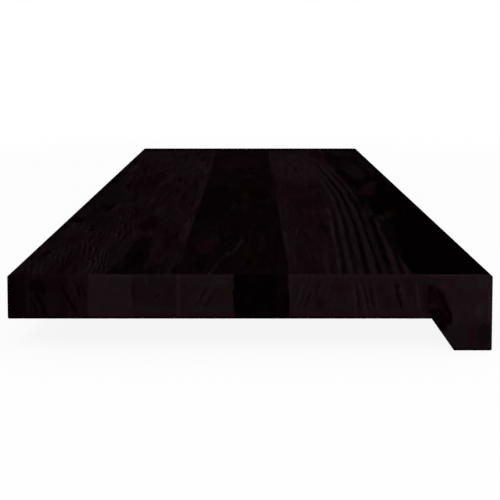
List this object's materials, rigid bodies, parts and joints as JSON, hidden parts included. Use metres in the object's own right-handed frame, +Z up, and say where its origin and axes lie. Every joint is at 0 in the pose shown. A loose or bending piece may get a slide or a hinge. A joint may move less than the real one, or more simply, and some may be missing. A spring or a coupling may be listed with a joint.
{
  "type": "stair tread",
  "caption": "Dark-stained solid wood stair tread, edge-glued from staves, with a deeper nosing along its front edge.",
  "frame": {"origin": "middle of the footprint, on the level of the nosing's lower face", "axes": "+X from the back edge towards the nosing, +Y along the length of the tread, +Z up out of the walking surface"},
  "size_m": [0.3, 0.9, 0.047],
  "materials": {
    "stained_wood": "matt near-black stain over open grain"
  },
  "bodies": {
    "root": {"back_stave": "stained_wood", "second_stave": "stained_wood", "third_stave": "stained_wood", "nosing_stave": "stained_wood"}
  },
  "joints": []
}
